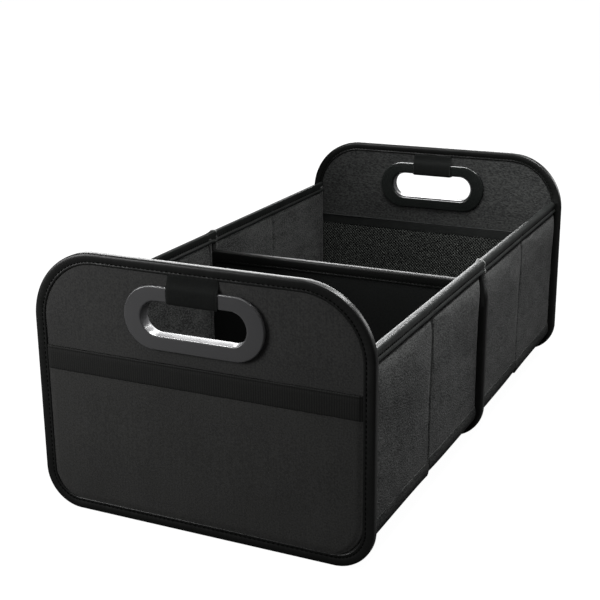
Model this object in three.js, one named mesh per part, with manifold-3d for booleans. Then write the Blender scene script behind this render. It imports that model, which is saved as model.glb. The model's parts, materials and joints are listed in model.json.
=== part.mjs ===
// A collapsible car trunk organizer: two tall end panels with oval hand grips, a lower divider in the
// middle, and two side walls that are each cut into four stiffened bays. The bays fold inward between
// the panels, bellows fashion, and the fabric floor of each compartment gathers up between them.
//
// Units are millimetres. X is the width, Y the length with the front end at -Y, Z is up. The origin is
// on the ground under the middle of the organizer. Sheets that lie against each other keep seamGap.
import * as THREE from "three";
import { mergeVertices } from "three/addons/utils/BufferGeometryUtils.js";
import Module from "manifold-3d";

const wasm = await Module();
wasm.setup();

// Overall sizes
const organizerLength = 600;
const organizerWidth = 325;
const endHeight = 245;
const wallDrop = 55;
const dividerDrop = 75;
const wallBottom = 22;
const wallInset = 7.8;
const endTopRadius = 65;
const bottomRadius = 36;
const dividerTopRadius = 20;

// Layers of a sewn panel
const fabric = 0.8;
const tape = 1.0;
const endBoard = 3.0;
const wallBoard = 2.0;
const seamGap = 0.3;
const creaseGap = 0.6;
const boardSetback = 3.0;

// Binding tape, as seen from the face of the panel that it closes
const bindingWidth = 11;
const bindingRound = 1.4;
const wallTopBinding = 12;
const wallBottomBinding = 13;

// Hand grips: two oval shells that clip together through the end panel
const gripLength = 134;
const gripHeight = 56.5;
const gripDrop = 49;
const openingLength = 99.5;
const openingHeight = 29.5;
const gripFlange = 3.5;
const gripRound = 1.1;
const collarWall = 1.8;
const tabWidth = 49;
const tabThickness = 1.0;

// Flat pockets: a fabric one with an elastic band in front, a mesh one with a hem in the rear
const pocketDrop = 89.5;
const bandHeight = 22;
const meshDrop = 96;
const hemHeight = 12.5;
const bandThickness = 1.2;

// Fabric floor, and the room that keeps the folded layers clear of each other
const floorThickness = 2.4;
const floorGap = 0.5;
const foldClearance = 0.6;

// How finely arcs are cut: segments for an eighth of a turn
const arcSegments = 5;
const bevelSegments = 2;

// Derived sizes
const halfWidth = organizerWidth / 2;
const layer = seamGap + fabric;
const panelHalf = endBoard / 2 + layer;
const boundHalf = panelHalf + seamGap + tape;
const wallHalf = wallBoard / 2 + layer;
const wallBoundHalf = wallHalf + seamGap + tape;
const edgeInset = tape + seamGap;
const dividerHeight = endHeight - dividerDrop;
const wallTop = endHeight - wallDrop;
const wallCentre = halfWidth - wallInset - wallHalf;
const wallInnerFace = wallCentre - wallBoundHalf;
const endCentre = organizerLength / 2 - boundHalf;
const gripCentre = endHeight - gripDrop;
const sleeveBottom = wallBottom + wallBoundHalf;
const sleeveTop = wallTop - wallBoundHalf;

// Folding lines of a side wall, as distances from the middle of the divider. The bays turn about their
// inner faces at both ends and about their outer faces at the crease, which is halfway between, so an
// end panel stays square to the divider while the wall folds flat.
const dividerFold = boundHalf + foldClearance;
const endFold = endCentre - panelHalf - seamGap - gripFlange - foldClearance;
const creaseFold = (dividerFold + endFold) / 2;

const fabricBlack = new THREE.MeshStandardMaterial({ color: 0x2b2b2a, roughness: 0.9 });
const wallFabric = new THREE.MeshStandardMaterial({ color: 0x3a3a39, roughness: 0.9 });
const bindingTape = new THREE.MeshStandardMaterial({ color: 0x151615, roughness: 0.75 });
const elasticBand = new THREE.MeshStandardMaterial({ color: 0x1a1b1a, roughness: 0.85 });
const openMesh = new THREE.MeshStandardMaterial({ color: 0x20211e, roughness: 0.95 });
const stiffBoard = new THREE.MeshStandardMaterial({ color: 0x4a4a4c, roughness: 0.6 });
const gripPlastic = new THREE.MeshStandardMaterial({ color: 0x3c3d3e, roughness: 0.35 });

// Outlines. All are drawn in the plane of a panel: first coordinate across, second upwards.

function panelOutline(top, topRadius, inset = 0) {
  const side = halfWidth - inset;
  const low = Math.max(bottomRadius - inset, fabric);
  const high = Math.max(topRadius - inset, fabric);
  const ceiling = top - inset;
  const shape = new THREE.Shape();
  shape.moveTo(low - side, inset);
  shape.lineTo(side - low, inset);
  shape.absarc(side - low, inset + low, low, -Math.PI / 2, 0);
  shape.lineTo(side, ceiling - high);
  shape.absarc(side - high, ceiling - high, high, 0, Math.PI / 2);
  shape.lineTo(high - side, ceiling);
  shape.absarc(high - side, ceiling - high, high, Math.PI / 2, Math.PI);
  shape.lineTo(-side, inset + low);
  shape.absarc(low - side, inset + low, low, Math.PI, 1.5 * Math.PI);
  return shape;
}

function ovalOutline(length, height) {
  const radius = height / 2;
  const reach = length / 2 - radius;
  const shape = new THREE.Shape();
  shape.absarc(reach, gripCentre, radius, -Math.PI / 2, Math.PI / 2);
  shape.absarc(-reach, gripCentre, radius, Math.PI / 2, 1.5 * Math.PI);
  return shape;
}

function rectangle(left, right, bottom, top) {
  const shape = new THREE.Shape();
  shape.moveTo(left, bottom);
  shape.lineTo(right, bottom);
  shape.lineTo(right, top);
  shape.lineTo(left, top);
  return shape;
}

// An arch of tape over the top edge of a wall, open below; drawn upside down it closes the bottom edge.
function archOutline(rise) {
  const spring = rise - wallBoundHalf;
  const inner = wallBoundHalf - tape;
  const shape = new THREE.Shape();
  shape.moveTo(wallBoundHalf, 0);
  shape.lineTo(wallBoundHalf, spring);
  shape.absarc(0, spring, wallBoundHalf, 0, Math.PI);
  shape.lineTo(-wallBoundHalf, 0);
  shape.lineTo(-inner, 0);
  shape.lineTo(-inner, spring);
  shape.absarc(0, spring, inner, Math.PI, 0, true);
  shape.lineTo(inner, 0);
  return shape;
}

// Solids

// The outline stands upright and is as thick as the way from near to far along Y.
function plate(shape, near, far) {
  const slab = new THREE.ExtrudeGeometry(shape, {
    depth: far - near,
    bevelEnabled: false,
    curveSegments: arcSegments,
  });
  return slab.rotateX(Math.PI / 2).translate(0, far, 0);
}

// The same with rounded rims: the outline it is given is smaller by round all the way about.
function softPlate(shape, near, far, round) {
  const slab = new THREE.ExtrudeGeometry(shape, {
    depth: far - near - 2 * round,
    bevelThickness: round,
    bevelSize: round,
    bevelSegments,
    curveSegments: arcSegments,
  });
  return slab.rotateX(Math.PI / 2).translate(0, far - round, 0);
}

function solidOf(geometry) {
  const bare = geometry.clone();
  bare.deleteAttribute("normal");
  bare.deleteAttribute("uv");
  const merged = mergeVertices(bare, 1e-3);
  return new wasm.Manifold(
    new wasm.Mesh({
      numProp: 3,
      vertProperties: new Float32Array(merged.attributes.position.array),
      triVerts: new Uint32Array(merged.index.array),
    }),
  );
}

function geometryOf(solid) {
  const mesh = solid.getMesh();
  const geometry = new THREE.BufferGeometry();
  geometry.setAttribute("position", new THREE.BufferAttribute(mesh.vertProperties, 3));
  geometry.setIndex(new THREE.BufferAttribute(mesh.triVerts, 1));
  geometry.computeVertexNormals();
  return geometry;
}

const organizer = new THREE.Group();

function add(group, name, geometry, material) {
  const mesh = new THREE.Mesh(geometry, material);
  mesh.name = name;
  group.add(mesh);
  return mesh;
}

// Folded tape round the whole edge of a panel: a soft-edged rim with a slot for the panel's layers.
function rimBinding(top, topRadius) {
  const rim = solidOf(
    softPlate(panelOutline(top, topRadius, bindingRound), -boundHalf, boundHalf, bindingRound),
  );
  const window = solidOf(
    plate(panelOutline(top, topRadius, bindingWidth), -2 * boundHalf, 2 * boundHalf),
  );
  const slot = solidOf(
    plate(panelOutline(top, topRadius, tape), tape - boundHalf, boundHalf - tape),
  );
  return geometryOf(rim.subtract(window).subtract(slot));
}

// The part of a panel's face inside its binding, between two heights: a pocket, band, mesh or hem.
function facePiece(bottom, top, near, far, reach = halfWidth) {
  const face = solidOf(
    plate(panelOutline(endHeight, endTopRadius, bindingWidth + seamGap), near, far),
  );
  const zone = solidOf(plate(rectangle(-reach, reach, bottom, top), near - tape, far + tape));
  return geometryOf(face.intersect(zone));
}

// End panels. In each one's own group the outside faces -Y and the compartment is at +Y.

function buildEnd(name, heading) {
  const end = new THREE.Group();
  end.position.y = heading * endCentre;
  end.rotation.z = heading > 0 ? Math.PI : 0;
  organizer.add(end);

  const sheet = () => {
    const shape = panelOutline(endHeight, endTopRadius, edgeInset);
    const collarRoom = 2 * (collarWall + seamGap);
    shape.holes.push(ovalOutline(openingLength + collarRoom, openingHeight + collarRoom));
    return shape;
  };
  add(end, `${name}_outer_cover`, plate(sheet(), -panelHalf, fabric - panelHalf), fabricBlack);
  add(end, `${name}_board`, plate(sheet(), -endBoard / 2, endBoard / 2), stiffBoard);
  add(end, `${name}_lining`, plate(sheet(), panelHalf - fabric, panelHalf), fabricBlack);
  add(end, `${name}_binding`, rimBinding(endHeight, endTopRadius), bindingTape);
  buildGrip(end, name);
  return end;
}

// The outer shell carries the collar through the panel; the inner shell is clipped over the collar.
function buildGrip(end, name) {
  const back = panelHalf + seamGap;
  const face = back + gripFlange;
  const flange = (near, far) =>
    solidOf(
      softPlate(
        ovalOutline(gripLength - 2 * gripRound, gripHeight - 2 * gripRound),
        near,
        far,
        gripRound,
      ),
    );
  const oval = (grow, near, far) =>
    solidOf(plate(ovalOutline(openingLength + grow, openingHeight + grow), near, far));
  const collar = oval(2 * collarWall, -back - gripFlange / 2, face - gripRound);
  const outer = flange(-face, -back).add(collar).subtract(oval(0, -2 * face, 2 * face));
  const seat = oval(2 * (collarWall + seamGap), -2 * face, 2 * face);
  add(end, `${name}_grip_outer`, geometryOf(outer), gripPlastic);
  add(end, `${name}_grip_inner`, geometryOf(flange(back, face).subtract(seat)), gripPlastic);
  add(end, `${name}_grip_tab`, tabGeometry(back, face), bindingTape);
}

// A strip of tape sewn in at the top, laid over the upper bar of the grip and through the opening.
function tabGeometry(back, face) {
  const sewn = endHeight - bindingWidth - seamGap;
  const barTop = gripCentre + gripHeight / 2 + seamGap;
  const barBottom = gripCentre + openingHeight / 2 - seamGap;
  const clear = face + seamGap;
  const outside = [
    [-back, sewn],
    [-clear, barTop],
    [-clear, barBottom],
    [clear, barBottom],
    [clear, barTop],
    [back, sewn],
  ];
  const outer = [
    [-back - tabThickness, sewn],
    [-clear - tabThickness, barTop],
    [-clear - tabThickness, barBottom],
    [-clear, barBottom - tabThickness],
    [clear, barBottom - tabThickness],
    [clear + tabThickness, barBottom],
    [clear + tabThickness, barTop],
    [back + tabThickness, sewn],
  ];
  const shape = new THREE.Shape([...outer, ...outside.reverse()].map((p) => new THREE.Vector2(...p)));
  const strip = new THREE.ExtrudeGeometry(shape, { depth: tabWidth, bevelEnabled: false });
  const upright = new THREE.Matrix4().makeBasis(
    new THREE.Vector3(0, 1, 0),
    new THREE.Vector3(0, 0, 1),
    new THREE.Vector3(1, 0, 0),
  );
  return strip.applyMatrix4(upright).translate(-tabWidth / 2, 0, 0);
}

const front = buildEnd("front", -1);
const rear = buildEnd("rear", 1);

const pocketTop = endHeight - pocketDrop;
const pocketBack = -panelHalf - seamGap;
add(
  front,
  "front_pocket",
  facePiece(0, pocketTop - bandHeight - seamGap, pocketBack - fabric, pocketBack),
  fabricBlack,
);
add(
  front,
  "front_pocket_band",
  facePiece(pocketTop - bandHeight, pocketTop, pocketBack - bandThickness, pocketBack),
  elasticBand,
);

const meshTop = endHeight - meshDrop;
const meshBack = panelHalf + seamGap;
const meshReach = wallInnerFace - foldClearance;
add(
  rear,
  "rear_mesh_pocket",
  facePiece(0, meshTop - hemHeight - seamGap, meshBack, meshBack + fabric, meshReach),
  openMesh,
);
add(
  rear,
  "rear_mesh_hem",
  facePiece(meshTop - hemHeight, meshTop, meshBack, meshBack + bandThickness, meshReach),
  bindingTape,
);

// Divider: the same sandwich as the end panels, lower, with its bound edge standing out of the walls.

function dividerSheet() {
  return panelOutline(dividerHeight, dividerTopRadius, edgeInset);
}

add(
  organizer,
  "divider_front_cover",
  plate(dividerSheet(), -panelHalf, fabric - panelHalf),
  fabricBlack,
);
add(
  organizer,
  "divider_rear_cover",
  plate(dividerSheet(), panelHalf - fabric, panelHalf),
  fabricBlack,
);
add(organizer, "divider_board", plate(dividerSheet(), -endBoard / 2, endBoard / 2), stiffBoard);
add(organizer, "divider_binding", rimBinding(dividerHeight, dividerTopRadius), bindingTape);

// Side walls. Each side has an inner bay next to the divider and an outer bay next to the end panel,
// in front and behind. A bay is a fabric sleeve with a board in it and tape over both long edges.

function sleeveOutline() {
  const shape = rectangle(-wallHalf, wallHalf, sleeveBottom, sleeveTop);
  const cavity = wallHalf - fabric;
  shape.holes.push(
    rectangle(-cavity, cavity, sleeveBottom + fabric, sleeveTop - fabric),
  );
  return shape;
}

function buildBay(name, side, heading, near, far) {
  const bay = new THREE.Group();
  bay.position.x = side * wallCentre;
  organizer.add(bay);
  const start = Math.min(heading * near, heading * far);
  const stop = Math.max(heading * near, heading * far);
  add(bay, `${name}_cover`, plate(sleeveOutline(), start, stop), wallFabric);
  const boardOutline = rectangle(
    -wallBoard / 2,
    wallBoard / 2,
    sleeveBottom + layer,
    sleeveTop - layer,
  );
  const board = plate(boardOutline, start + boardSetback, stop - boardSetback);
  add(bay, `${name}_board`, board, stiffBoard);

  const topTape = add(
    bay,
    `${name}_top_binding`,
    plate(archOutline(wallTopBinding), start, stop),
    bindingTape,
  );
  topTape.position.z = wallTop - wallTopBinding;
  const bottomTape = add(
    bay,
    `${name}_bottom_binding`,
    plate(archOutline(wallBottomBinding), -stop, -start),
    bindingTape,
  );
  bottomTape.position.z = wallBottom + wallBottomBinding;
  bottomTape.rotation.x = Math.PI;
}

const bayStart = boundHalf + seamGap;
const bayStop = endCentre - boundHalf - seamGap;
for (const [sideName, side] of [["left", -1], ["right", 1]]) {
  for (const [endName, heading] of [["front", -1], ["rear", 1]]) {
    const name = `${sideName}_${endName}`;
    buildBay(`${name}_inner`, side, heading, bayStart, creaseFold - creaseGap / 2);
    buildBay(`${name}_outer`, side, heading, creaseFold + creaseGap / 2, bayStop);
  }

  // Above the divider a short length of doubled tape joins the front and rear halves of the wall.
  const bridge = new THREE.Shape();
  const spring = wallTop - wallBoundHalf;
  bridge.moveTo(-wallHalf, dividerHeight + seamGap);
  bridge.lineTo(wallHalf, dividerHeight + seamGap);
  bridge.lineTo(wallHalf, wallTop - wallTopBinding);
  bridge.lineTo(wallBoundHalf, wallTop - wallTopBinding);
  bridge.lineTo(wallBoundHalf, spring);
  bridge.absarc(0, spring, wallBoundHalf, 0, Math.PI);
  bridge.lineTo(-wallBoundHalf, wallTop - wallTopBinding);
  bridge.lineTo(-wallHalf, wallTop - wallTopBinding);
  const joiner = add(
    organizer,
    `${sideName}_wall_joiner`,
    plate(bridge, -boundHalf, boundHalf),
    bindingTape,
  );
  joiner.position.x = side * wallCentre;
}

// The floor of each compartment is a padded sheet of fabric, sewn in just below the walls' bottom edges.

const floorWidth = 2 * (wallInnerFace - seamGap);
const floorLength = bayStop - bayStart;
for (const [name, heading] of [["front_floor", -1], ["rear_floor", 1]]) {
  const sheet = new THREE.BoxGeometry(floorWidth, floorLength, floorThickness);
  const mesh = add(organizer, name, sheet, fabricBlack);
  const under = wallBottom - floorGap - floorThickness / 2;
  mesh.position.set(0, (heading * (bayStart + bayStop)) / 2, under);
}

export default organizer;
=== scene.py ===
"""A collapsible car trunk organizer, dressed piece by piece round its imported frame."""
import json
import math

import bmesh
import bpy
import numpy as np
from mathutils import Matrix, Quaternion, Vector


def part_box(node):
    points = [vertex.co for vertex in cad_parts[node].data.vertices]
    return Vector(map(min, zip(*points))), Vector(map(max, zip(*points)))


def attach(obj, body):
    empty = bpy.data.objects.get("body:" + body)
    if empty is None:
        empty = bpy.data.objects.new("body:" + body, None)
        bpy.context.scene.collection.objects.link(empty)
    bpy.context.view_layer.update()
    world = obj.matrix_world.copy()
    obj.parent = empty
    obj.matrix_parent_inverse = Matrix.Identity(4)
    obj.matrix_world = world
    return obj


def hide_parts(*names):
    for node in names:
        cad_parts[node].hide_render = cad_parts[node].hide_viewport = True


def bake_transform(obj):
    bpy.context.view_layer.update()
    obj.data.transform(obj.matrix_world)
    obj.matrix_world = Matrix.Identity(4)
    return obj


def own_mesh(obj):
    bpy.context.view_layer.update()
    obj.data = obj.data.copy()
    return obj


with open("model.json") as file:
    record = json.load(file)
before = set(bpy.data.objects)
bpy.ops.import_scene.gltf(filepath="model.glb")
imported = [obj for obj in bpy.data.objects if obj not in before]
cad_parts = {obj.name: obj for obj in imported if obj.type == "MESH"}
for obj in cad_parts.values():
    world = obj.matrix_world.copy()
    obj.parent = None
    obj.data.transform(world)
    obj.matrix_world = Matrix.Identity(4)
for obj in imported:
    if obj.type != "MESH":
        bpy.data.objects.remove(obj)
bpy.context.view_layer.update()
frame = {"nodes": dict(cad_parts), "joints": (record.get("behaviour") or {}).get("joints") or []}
scene = bpy.context.scene
MM = 0.001

# Camera: a portrait lens at the front right, a little above the end panels. Its place, tilt and roll were
# fitted to the panels' corners in the photograph, and its picture has no shift.
target = Vector((0, -94.4, 157.6)) * MM
reach = 1190.7 * MM
yaw, elevation, roll = (math.radians(angle) for angle in (25.45, 17.28, -0.48))
backward = Vector(
    (math.sin(yaw) * math.cos(elevation), -math.cos(yaw) * math.cos(elevation), math.sin(elevation))
)
camera = bpy.data.objects.new("camera", bpy.data.cameras.new("camera"))
camera.data.sensor_width = 36
camera.data.lens = 72.6
camera.location = target + backward * reach
camera.rotation_mode = "QUATERNION"
camera.rotation_quaternion = backward.to_track_quat("Z", "Y") @ Quaternion((0, 0, 1), roll)
scene.collection.objects.link(camera)
scene.camera = camera
scene.view_settings.view_transform = "Standard"


# Studio: white paper under soft boxes. The rim box stands low behind and draws the bright line on every
# rolled edge. The collar and ring boxes light only the grips, the edge box only the end panels' tape. The
# strip shines down along the right wall, and a black card keeps the rim box off the left one.
def linear(hex_colour):
    """The linear colour, with alpha, of an sRGB hex value such as "#2b2b2b"."""
    shares = [int(hex_colour[i : i + 2], 16) / 255 for i in (1, 3, 5)]
    return [s / 12.92 if s <= 0.04045 else ((s + 0.055) / 1.055) ** 2.4 for s in shares] + [1]


def add(tree, kind, settings=None, **inputs):
    """Adds a shader node with its settings. Each input is a value or a socket; _ stands for a space."""
    made = tree.nodes.new("ShaderNode" + kind)
    for name, value in (settings or {}).items():
        setattr(made, name, value)
    for name, value in inputs.items():
        index = int(name[1:]) if name[0] == "i" and name[1:].isdigit() else name.replace("_", " ")
        if isinstance(value, bpy.types.NodeSocket):
            tree.links.new(value, made.inputs[index])
        else:
            made.inputs[index].default_value = value
    return made


def new_material(name):
    material = bpy.data.materials.new(name)
    material.use_nodes = True
    material.node_tree.nodes.clear()
    return material, material.node_tree


# Plain white under the object, which throws only a little grey light up at its sides.
floor_paper, tree = new_material("matt_paper_glow_with_painted_shadow")
seen = add(tree, "LightPath")
from_middle = add(tree, "VectorMath", {"operation": "LENGTH"}, i0=add(tree, "TexCoord").outputs["Object"])
# The glow the camera sees is dimmed a little near the object: a painted shadow round it.
painted_shadow_glow = add(
    tree, "MapRange", Value=from_middle.outputs["Value"], From_Min=0.35, From_Max=0.9, To_Min=0.98,
    To_Max=1.0,
)
paper = add(tree, "BsdfDiffuse", Color=linear("#545454"))
glow = add(tree, "Emission", Color=linear("#ffffff"), Strength=painted_shadow_glow.outputs[0])
both = add(tree, "AddShader", i0=paper.outputs[0], i1=glow.outputs[0])
shown = add(tree, "MixShader", i0=seen.outputs["Is Camera Ray"], i1=paper.outputs[0], i2=both.outputs[0])
add(tree, "OutputMaterial", Surface=shown.outputs[0])

floor_mesh = bpy.data.meshes.new("studio_floor")
FLOOR_HALF = 8.0
corners = [(-1, -1), (1, -1), (1, 1), (-1, 1)]
floor_mesh.from_pydata([(FLOOR_HALF * x, FLOOR_HALF * y, 0) for x, y in corners], [], [(0, 1, 2, 3)])
floor_mesh.materials.append(floor_paper)
studio_floor = bpy.data.objects.new("studio_floor", floor_mesh)
scene.collection.objects.link(studio_floor)

world = bpy.data.worlds.new("studio")
world.use_nodes = True
world.node_tree.nodes.clear()
seen = add(world.node_tree, "LightPath")
dim = add(world.node_tree, "Background", Color=linear("#ffffff"), Strength=0.14)
white = add(world.node_tree, "Background", Color=linear("#ffffff"), Strength=1.0)
shown = add(
    world.node_tree, "MixShader", i0=seen.outputs["Is Camera Ray"], i1=dim.outputs[0], i2=white.outputs[0]
)
add(world.node_tree, "OutputWorld", Surface=shown.outputs[0])
scene.world = world

grips_only = bpy.data.collections.new("grips_only")
end_tape_only = bpy.data.collections.new("end_tape_only")


def soft_box(name, place, aim, width, height, watts, lit=None):
    lamp = bpy.data.lights.new(name, "AREA")
    lamp.shape = "RECTANGLE"
    lamp.size, lamp.size_y, lamp.energy = width, height, watts
    box = bpy.data.objects.new(name, lamp)
    box.location = Vector(place)
    box.rotation_mode = "QUATERNION"
    box.rotation_quaternion = (Vector(place) - Vector(aim)).to_track_quat("Z", "Y")
    box.visible_camera = False
    if lit:
        box.light_linking.receiver_collection = lit
    scene.collection.objects.link(box)


soft_box("rim_box", (-0.95, 1.9, 0.76), (0, 0, 0.2), 1.7, 0.7, 30)
soft_box("collar_box", (0.1, 1.9, 1.5), (0, 0, 0.2), 2.6, 0.9, 66, grips_only)
soft_box("ring_box", (-0.35, 0.1, 1.1), (0, -0.3, 0.2), 1.0, 0.5, 64, grips_only)
soft_box("edge_box", (1.05, 1.9, 0.65), (0, 0, 0.2), 0.35, 0.7, 8, end_tape_only)
soft_box("overhead_box", (0.1, 0, 1.3), (0, 0.1, 0.15), 1.2, 0.9, 14)
soft_box("wall_strip", (0.215, 0.0, 0.5), (0.388, 0.0, 0.2), 0.62, 0.05, 3.4)
soft_box("front_box", (-0.62, -0.8, 0.44), (-0.14, -0.3, 0.14), 0.4, 0.4, 5.2)

# Black that gives nothing back.
card_black, tree = new_material("black_card")
add(tree, "OutputMaterial", Surface=add(tree, "BsdfDiffuse", Color=linear("#050505")).outputs[0])
card_mesh = bpy.data.meshes.new("studio_card")
corners = [(-0.26, 0.192), (0.4, 0.192), (0.4, 0.262), (-0.26, 0.262)]
card_mesh.from_pydata([(-0.2, y, z) for y, z in corners], [], [(0, 1, 2, 3)])
card_mesh.materials.append(card_black)
studio_card = bpy.data.objects.new("studio_card", card_mesh)
studio_card.visible_camera = False
scene.collection.objects.link(studio_card)


# Edge tape: satin polyester webbing, folded over the raw edge of each panel and topstitched near its inner
# edge on both faces. It rounds the panel's rim, pulls in at the stitches and puckers a little between.
def mm_box(node):
    """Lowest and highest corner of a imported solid, in millimetres."""
    low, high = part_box(node)
    return np.array(low) / MM, np.array(high) / MM


def ripple(u, v, seed, shortest, longest, waves=6):
    """A smooth uneven surface between about -1 and 1, over two lengths in millimetres."""
    random = np.random.default_rng(seed)
    height = 0
    for length in np.geomspace(shortest, longest, waves):
        turn, phase = random.uniform(0, 2 * np.pi, 2)
        height = height + np.sin((np.cos(turn) * u + np.sin(turn) * v) * 2 * np.pi / length + phase)
    return height / waves * 1.6


def piece_of(name, points, faces, material, slot, body=None, stands_for=()):
    """A smooth closed mesh of points in millimetres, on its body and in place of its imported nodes."""
    mesh = bpy.data.meshes.new(name)
    mesh.from_pydata((np.asarray(points, float) * MM).tolist(), [], faces)
    shell = bmesh.new()
    shell.from_mesh(mesh)
    bmesh.ops.recalc_face_normals(shell, faces=shell.faces)
    shell.to_mesh(mesh)
    shell.free()
    mesh.shade_smooth()
    mesh.materials.append(material)
    made = bpy.data.objects.new(name, mesh)
    scene.collection.objects.link(made)
    if body:
        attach(made, body)
    if stands_for:
        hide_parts(*stands_for)
    return made


def loop_faces(rings, around, closed):
    """Faces between rings of points, each ring a closed loop; the row of rings closes or gets end caps."""
    faces = []
    for r in range(rings if closed else rings - 1):
        here, after = r * around, (r + 1) % rings * around
        for k in range(around):
            n = (k + 1) % around
            faces.append((here + k, here + n, after + n, after + k))
    if not closed:
        faces.append(tuple(range(around)))
        faces.append(tuple(range((rings - 1) * around, rings * around)))
    return faces


def swept(name, rings, closed, *finish):
    """The piece that rings of points make. Its finish: material, slot (not used), body and the nodes it
    replaces.
    """
    faces = loop_faces(len(rings), len(rings[0]), closed)
    return piece_of(name, np.reshape(rings, (-1, 3)), faces, *finish)


def edge_path(half_width, top, top_radius, step):
    """Evenly spaced points round the edge of a panel, the way out at each and the length up to each."""
    corners = [
        (half_width - LOW_RADIUS, LOW_RADIUS, LOW_RADIUS, -90),
        (half_width - top_radius, top - top_radius, top_radius, 0),
        (top_radius - half_width, top - top_radius, top_radius, 90),
        (LOW_RADIUS - half_width, LOW_RADIUS, LOW_RADIUS, 180),
    ]
    points, ways = [], []
    for x, z, radius, start in corners:
        for turn in np.radians(np.linspace(start, start + 90, 60)):
            ways.append((math.cos(turn), math.sin(turn)))
            points.append((x + radius * ways[-1][0], z + radius * ways[-1][1]))
    points, ways = np.array(points + points[:1]), np.array(ways + ways[:1])
    length = np.concatenate([[0], np.cumsum(np.linalg.norm(np.diff(points, axis=0), axis=1))])
    count = int(length[-1] / step)
    along = np.arange(count) * length[-1] / count
    spread = [np.interp(along, length, column) for column in (*points.T, *ways.T)]
    return np.stack(spread[:2], 1), np.stack(spread[2:], 1), along


def stitching(name, rows, body=None):
    """Rows of short threads. Each row: its points, the way of each thread, and the way out of the tape."""
    shape = [(-0.5, 0.35), (-0.3, 1.0), (0.3, 1.0), (0.5, 0.35)]
    around = np.radians(np.arange(0, 360, 60))
    made, faces = [], []
    for points, ways, out in rows:
        for point, way in zip(points, ways):
            across = np.cross(way, out)
            faces += [tuple(len(made) + i for i in f) for f in loop_faces(len(shape), len(around), False)]
            for place, share in shape:
                sink = 0 if share == 1.0 else -0.8 * THREAD_RADIUS
                core = point + way * STITCH_LENGTH * place + out * sink
                for turn in around:
                    spoke = math.cos(turn) * across + math.sin(turn) * out
                    made.append(core + spoke * THREAD_RADIUS * share)
    return piece_of(name, made, faces, seam_thread, "binding_tape", body)


def webbing(name, shade, light, roughness, gloss):
    """Woven tape: fine ribs in two near shades under a satin finish, which is bright only edge-on."""
    material, tree = new_material(name)
    place = add(tree, "TexCoord").outputs["Object"]
    ribs = add(tree, "TexVoronoi", {"feature": "F1"}, Vector=place, Scale=1 / (1.1 * MM))
    mottle = add(tree, "TexNoise", Vector=place, Scale=1 / (14 * MM), Detail=3.0)
    share = add(
        tree, "Math", {"operation": "MULTIPLY_ADD"}, i0=ribs.outputs["Distance"], i1=0.5,
        i2=mottle.outputs["Fac"],
    )
    share = add(tree, "MapRange", Value=share.outputs[0], From_Min=0.45, From_Max=1.1)
    colour = add(
        tree, "Mix", {"data_type": "RGBA"}, i0=share.outputs[0], i6=linear(shade), i7=linear(light)
    )
    relief = add(tree, "Bump", Strength=0.16, Distance=0.15 * MM, Height=ribs.outputs["Distance"])
    skin = add(
        tree, "BsdfPrincipled", Base_Color=colour.outputs[2], Roughness=roughness,
        Specular_IOR_Level=gloss, Normal=relief.outputs[0],
    )
    add(tree, "OutputMaterial", Surface=skin.outputs[0])
    return material


# Deep black face that only shines along the rolled rim.
black_webbing = webbing("satin_black_polyester_webbing", "#050605", "#0e0f0e", 0.38, 0.4)
# Dull twisted thread, a little darker than the cloth, that breaks the tape's edge into dots.
seam_thread, tree = new_material("twisted_nylon_thread")
skin = add(tree, "BsdfPrincipled", Base_Color=linear("#0e0f0e"), Roughness=0.8, Specular_IOR_Level=0.0)
twist = add(tree, "TexNoise", Vector=add(tree, "TexCoord").outputs["Object"], Scale=1 / (0.4 * MM))
relief = add(tree, "Bump", Strength=0.4, Distance=0.1 * MM, Height=twist.outputs["Fac"])
tree.links.new(relief.outputs[0], skin.inputs["Normal"])
add(tree, "OutputMaterial", Surface=skin.outputs[0])

END_RADIUS = 65.0
LOW_RADIUS = 36.0
DIVIDER_RADIUS = 20.0
TAPE_STEP = 1.2
TAPE_THICKNESS = 1.3
SEAM_INSET = 2.6
STITCH_PITCH = 4.5
STITCH_LENGTH = 3.0
THREAD_RADIUS = 0.42


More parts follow.
